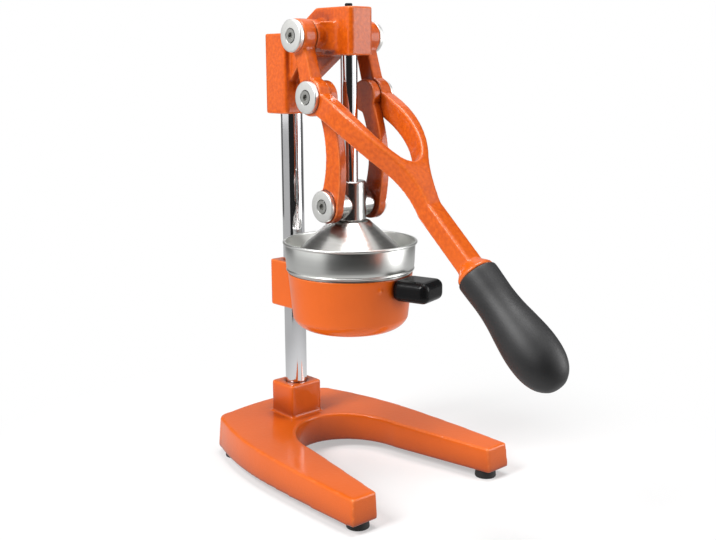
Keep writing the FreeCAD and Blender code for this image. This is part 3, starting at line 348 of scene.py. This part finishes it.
# %% Spun steel
def spun_steel(name, light, dark, roughness, ring_size, ring_depth):
    """Steel turned about the plunger's axis: its rings depend on height and radius only."""
    steel = Finish(name)
    here = steel.place(plunger_foot)
    height = steel.node("ShaderNodeSeparateXYZ", {}, {0: here}, out="Z")
    radius = steel.node("ShaderNodeVectorMath", {"operation": "LENGTH"}, {0: here * (1, 1, 0)}, out="Value")
    section = steel.node("ShaderNodeCombineXYZ", {}, {"X": radius, "Y": height})
    rings = steel.node("ShaderNodeTexNoise", {"noise_dimensions": "2D"},
                       {"Vector": section, "Scale": 1.0 / ring_size, "Detail": 2.0}, out="Fac")
    cloud = steel.grain(0.02)
    colour = steel.blend(0.4 * rings + 0.6 * cloud, dark, light)
    return steel.shade(Base_Color=colour, Metallic=1.0, Roughness=roughness + 0.1 * rings,
                       Normal=steel.bump(rings, ring_depth))


# %% Small metal pieces
def satin_steel(name, light, dark, roughness):
    steel = Finish(name)
    speck = steel.grain(0.0006, detail=3.0)
    cloud = steel.grain(0.006)
    return steel.shade(Base_Color=steel.blend(0.5 * speck + 0.5 * cloud, dark, light), Metallic=1.0,
                       Roughness=roughness + 0.1 * speck, Normal=steel.bump(speck, 0.00001))


# %% [markdown]
# ## Rubber and moulded plastic
# The grip is a matt rubber sleeve that shows a fine even grain and slightly paler rubbed patches.
# The little handle is gloss moulded plastic with only a trace of waviness.

# %% Black mouldings
def black_moulding(name, light, dark, roughness, depth, grain_size, shine=0.5):
    moulding = Finish(name)
    fine = moulding.grain(grain_size)
    rubbed = moulding.grain(0.018, detail=3.0)
    return moulding.shade(Base_Color=moulding.blend(rubbed, dark, light), Roughness=roughness + 0.12 * rubbed,
                          Normal=moulding.bump(fine, depth), Specular_IOR_Level=shine)


# %% The finishes by the name of their slot
finishes = {
    "orange_paint": orange_paint(),
    "chrome": chrome(),
    "stainless": spun_steel("stainless", rgb(228, 229, 226), rgb(210, 211, 208), 0.27, 0.004, 0.00002),
    "bright_steel": spun_steel("bright_steel", rgb(216, 214, 210), rgb(186, 185, 182), 0.19, 0.003, 0.00003),
    "crosshead_steel": satin_steel("crosshead_steel", rgb(205, 205, 203), rgb(170, 170, 168), 0.2),
    "washer_steel": satin_steel("washer_steel", rgb(246, 246, 243), rgb(230, 230, 227), 0.36),
    "screw_steel": satin_steel("screw_steel", rgb(188, 188, 184), rgb(156, 156, 152), 0.36),
    "dark_screw": satin_steel("dark_screw", rgb(52, 52, 54), rgb(28, 28, 30), 0.4),
    "bronze": satin_steel("bronze", rgb(190, 150, 95), rgb(150, 112, 66), 0.4),
    "black_rubber": black_moulding("black_rubber", rgb(40, 40, 41), rgb(24, 24, 25), 0.42, 0.00006, 0.0009),
    "foot_rubber": black_moulding("foot_rubber", rgb(34, 34, 34), rgb(18, 18, 18), 0.6, 0.00008, 0.001),
    "black_plastic": black_moulding("black_plastic", rgb(22, 22, 23), rgb(12, 12, 13), 0.12, 0.00004, 0.004,
                                    shine=0.15),
}
print(len(finishes), "finishes for", len(set(slot_of_node.values())), "slots")


# %% [markdown]
# ## Giving a piece its place
# Every solid gets the finish of its slot. A new piece that stands for a solid also takes over its body,
# so that it moves with the joint, and its slot.

# %% Dress the solids
for node, solid in nodes.items():
    solid.data.materials.clear()
    solid.data.materials.append(finishes[slot_of_node[node]])


# %% Let a new piece stand for solids
def stand_for(piece, *names):
    """The piece replaces these solids, which share one body and one slot."""
    slot = slot_of_node[names[0]]
    piece.data.materials.clear()
    piece.data.materials.append(finishes[slot])
    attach(piece, body_of_node[names[0]])
    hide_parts(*names)


def piece_from(shape, name, sharp=38):
    """A piece from a bmesh, facing out, smooth except at edges sharper than this in degrees."""
    bmesh.ops.recalc_face_normals(shape, faces=shape.faces)
    data = bpy.data.meshes.new(name)
    shape.to_mesh(data)
    shape.free()
    data.shade_smooth()
    data.set_sharp_from_angle(angle=math.radians(sharp))
    piece = bpy.data.objects.new(name, data)
    bpy.context.scene.collection.objects.link(piece)
    return piece


print("solids dressed:", len(nodes))

# %% [markdown]
# ## Castings with soft edges
# Iron poured into sand has no sharp edge, and paint rounds it further. Bevelling hundreds of edges by
# hand where arms, eyes and blocks run into each other is slow. A voxel remesh turns the solid into an
# even grid of small faces, and smoothing that grid rounds every edge and fillets every inner corner.

# %% Cast skin
def cast_skin(node, grid, passes, share=1.0, swell=0.0):
    """A copy of a solid with rounded edges, on a grid of this spacing in metres, thinned to a share.

    Many passes also draw a thin bar in, and swell moves its skin back out by that much."""
    source = bmesh.new()
    source.from_mesh(nodes[node].data)
    bmesh.ops.remove_doubles(source, verts=source.verts, dist=0.000002)
    piece = piece_from(source, node + "_cast")
    remesh = piece.modifiers.new("grid", "REMESH")
    remesh.mode, remesh.voxel_size = "VOXEL", grid
    smooth = piece.modifiers.new("round", "SMOOTH")
    smooth.factor, smooth.iterations = 0.5, passes
    if swell > 0:
        grow = piece.modifiers.new("swell", "DISPLACE")
        grow.strength, grow.mid_level = swell, 0.0
    if share < 1:
        piece.modifiers.new("thin_out", "DECIMATE").ratio = share
    finished = bpy.data.meshes.new_from_object(piece.evaluated_get(bpy.context.evaluated_depsgraph_get()))
    piece.modifiers.clear()
    piece.data = finished
    piece.data.shade_smooth()
    stand_for(piece, node)
    print(node, len(finished.polygons), "faces")


cast_skin("base_casting", 0.0008, 45, 0.25)
cast_skin("cup_ring", 0.0008, 14, 0.4)
cast_skin("head_casting", 0.0007, 24, 0.5)
cast_skin("lever_casting", 0.0007, 42, 0.5, swell=0.0004)
cast_skin("link_left", 0.0006, 14, 0.6)
cast_skin("link_right", 0.0006, 14, 0.6)

# %% [markdown]
# The crosshead is a small steel casting that was polished afterwards, so its edges are softer than its
# faces. The ring's handle is a plastic moulding. Both take the same treatment on a finer grid.

# %% Crosshead and side handle
cast_skin("crosshead", 0.0007, 4)
cast_skin("side_handle", 0.0007, 5)

# %% [markdown]
# ## Turned pieces
# Bowl, bell, washers and feet are all round. A spin sweeps a line of points round an axis, as a lathe or
# a spinning mould would form them, and gives an even ring of faces that reflects without kinks.
# Profiles are written in millimetres, as (radius, height along the axis).

# %% Lathe
def turned_into(shape, profile, centre, axis=(0, 0, 1), steps=96, closed=True):
    """Sweeps a profile round an axis into this shape."""
    along = Vector(axis).normalized()
    out = along.orthogonal().normalized()
    place = [Vector(centre) + (out * radius + along * height) / 1000 for radius, height in profile]
    points = [shape.verts.new(point) for point in place]
    ends = points[1:] + points[:1] if closed else points[1:]
    edges = [shape.edges.new(pair) for pair in zip(points, ends)]
    bmesh.ops.spin(shape, geom=points + edges, cent=centre, axis=along, angle=2 * math.pi, steps=steps,
                   use_merge=True)
    bmesh.ops.remove_doubles(shape, verts=shape.verts, dist=0.000005)


def turned(name, profile, centre, axis=(0, 0, 1), steps=96, closed=True):
    shape = bmesh.new()
    turned_into(shape, profile, centre, axis, steps, closed)
    return piece_from(shape, name)


# %% Rounded corners for a profile
def rounded(profile, radius, steps=5):
    """A closed profile with each corner replaced by a short curve."""
    soft = []
    for index, corner in enumerate(map(Vector, profile)):
        before, after = Vector(profile[index - 1]), Vector(profile[(index + 1) % len(profile)])
        reach = min(radius, (before - corner).length * 0.45, (after - corner).length * 0.45)
        start = corner + (before - corner).normalized() * reach
        end = corner + (after - corner).normalized() * reach
        for share in (step / steps for step in range(steps + 1)):
            soft.append(start * (1 - share) ** 2 + corner * 2 * share * (1 - share) + end * share ** 2)
    return [tuple(point) for point in soft]


def smooth_line(points, steps=8):
    """A smooth curve through all the points, for an outline given point by point."""
    points = [Vector(point) for point in points]
    ends = [2 * points[0] - points[1]] + points + [2 * points[-1] - points[-2]]
    line = []
    for before, start, end, after in zip(ends, ends[1:], ends[2:], ends[3:]):
        for share in (step / steps for step in range(steps)):
            pull = (end - before) * share + (2 * before - 5 * start + 4 * end - after) * share ** 2
            line.append(start + (pull + (3 * start - before - 3 * end + after) * share ** 3) / 2)
    return [tuple(point) for point in line + [points[-1]]]


print("a square corner rounded to", len(rounded([(0, 0), (1, 0), (1, 1), (0, 1)], 0.2)), "points")

# %% [markdown]
# ## Column and rod
# Ground steel bar, cut to length, with its ends broken by a small chamfer. A fine turned skin keeps the
# long reflections straight.

# %% Bars
def bar(node, chamfer):
    low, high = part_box(node)
    radius, length = (high.x - low.x) * 500, (high.z - low.z) * 1000
    foot = Vector(((low.x + high.x) / 2, (low.y + high.y) / 2, low.z))
    profile = [(0, 0), (radius - chamfer, 0), (radius, chamfer)]
    profile += [(radius, length - chamfer), (radius - chamfer, length), (0, length)]
    stand_for(turned(node + "_bar", profile, foot, steps=128, closed=False), node)
    print(node, "radius", round(radius, 2), "length", round(length, 1))


bar("column", 1.0)
bar("plunger_rod", 0.5)

# %% [markdown]
# ## Bowl
# A spun sheet bowl. The rim is rolled outwards over a wire so that it isn't sharp, and a bead pressed
# round the foot stops it on the ring's upper edge. The wall between them flares by a millimetre and a half.

# %% Bowl wall with rolled rim and bead
bowl_low, bowl_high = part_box("juice_bowl")
rim_height = (bowl_high.z - bowl_low.z) * 1000
rim_radius = (bowl_high.x - bowl_low.x) * 500
bowl_foot = Vector((*plunger_foot.xy, bowl_low.z))
roll = 1.35


def arc(centre, radius, start, end, steps):
    angles = [math.radians(start + (end - start) * step / steps) for step in range(steps + 1)]
    return [(centre[0] + radius * math.cos(angle), centre[1] + radius * math.sin(angle)) for angle in angles]


bowl_profile = [(49.2, 0.0), (56.4, 0.0), (56.6, 0.2), (56.6, 1.4), (57.4, 1.7)]
bowl_profile += arc((57.6, 2.9), 1.1, -80, 80, 8)
bowl_profile += [(58.0, 4.3), (58.4, 5.2), (58.7, 8.0), (59.5, rim_height - 3.6)]
bowl_profile += arc((rim_radius - roll, rim_height - roll), roll, -140, 190, 16)
bowl_profile += [(58.3, rim_height - 4.5), (57.4, 8.0), (55.8, 4.0), (55.4, 1.3), (49.2, 1.2)]
stand_for(turned("bowl_wall", bowl_profile, bowl_foot, steps=160), "juice_bowl")
print("bowl rim", round(rim_radius, 2), "mm, height", round(rim_height, 2), "mm")

# %% [markdown]
# ## Bell
# A pressed bell that pushes the fruit down. It is a plain cone with a flat top and a short upright lip,
# polished to a mirror. Its inside stays open.

# %% Bell
bell_low, bell_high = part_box("press_cone")
bell_height = (bell_high.z - bell_low.z) * 1000
bell_foot = Vector((*plunger_foot.xy, bell_low.z))
bell_profile = [(4.3, bell_height), (17.8, bell_height), (49.6, 3.3), (50.0, 2.4), (50.0, 0.0)]
bell_profile += [(47.0, 0.0), (47.0, 2.0), (13.6, bell_height - 5.5), (4.3, bell_height - 5.5)]
stand_for(turned("bell", rounded(bell_profile, 0.8), bell_foot, steps=160), "press_cone")
print("bell height", round(bell_height, 2), "mm")

# %% [markdown]
# ## Pivot washers
# Thick turned discs close all six pivots. Their outer edges are rounded, and the seat of the screw is
# countersunk a little wider than the screw's head, which leaves a dark ring round it.

# %% Washers
washer_radius, washer_thickness, washer_edge = 14.1, 4.4, 1.1
seat_radius, seat_depth, bore_radius, broken_edge = 6.4, 3.6, 4.2, 0.4


def washers(name, node, sides):
    low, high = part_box(node)
    middle = (low + high) / 2
    shape = bmesh.new()
    for side in sides:
        face_x = high.x if side > 0 else -low.x
        back = Vector((side * (face_x - washer_thickness / 1000), middle.y, middle.z))
        disc = [(bore_radius, 0), (washer_radius - broken_edge, 0), (washer_radius, broken_edge)]
        disc += arc((washer_radius - washer_edge, washer_thickness - washer_edge), washer_edge, 0, 90, 6)
        disc += [(seat_radius + 0.3, washer_thickness), (seat_radius, washer_thickness - broken_edge)]
        disc += [(bore_radius, washer_thickness - seat_depth)]
        turned_into(shape, disc, back, axis=(side, 0, 0))
    stand_for(piece_from(shape, name), node)


washers("top_washers", "top_pivot_washers", (-1, 1))
for kind in ("mid", "low"):
    for word, side in (("left", -1), ("right", 1)):
        washers(kind + "_washer_" + word, kind + "_pivot_washer_" + word, (side,))
print("washers turned about", short(middle_of("top_pivot_washers")))

# %% [markdown]
# ## Rubber feet
# Short rubber cones under the base, wider where they stand. Their lower edges are rounded.

# %% Feet
for place in ("front_left", "front_right", "rear_left", "rear_right"):
    node = "foot_" + place
    middle = middle_of(node)
    foot_profile = rounded([(4.8, 0), (10.0, 0), (9.2, 8.0), (2.8, 8.0), (2.8, 4.0), (4.8, 4.0)], 1.2)
    stand_for(turned("rubber_" + place, foot_profile, Vector((middle.x, middle.y, 0)), steps=64), node)
print("a foot stands at", short(middle_of("foot_front_left").xy))

# %% [markdown]
# ## Rubber grip
# A moulded sleeve that is narrow behind the collar, swells to fill the palm and ends in a blunt dome.

# %% Grip
lever_fall = math.radians(41.6)
grip_axis = Vector((0, -math.cos(lever_fall), -math.sin(lever_fall)))
grip_length = 0.112
grip_foot = plunger_foot + Vector((0, -0.1, 0.2577)) + grip_axis * 0.072
palm_line = [(16.6, 0.0), (17.6, 1.6), (17.4, 12.0), (17.0, 26.0), (17.8, 40.0), (19.7, 54.0)]
palm_line += [(21.3, 67.0), (21.8, 78.0), (21.0, 89.0), (18.6, 98.0), (14.6, 105.0), (9.0, 110.0)]
palm_line += [(4.0, 111.8), (0.0, 112.0)]
grip_profile = [(5.3, 0.0)] + smooth_line(palm_line)
stand_for(turned("rubber_grip", grip_profile, grip_foot, axis=grip_axis, closed=False), "lever_grip")
print("grip ends at", short(grip_foot + grip_axis * grip_length))
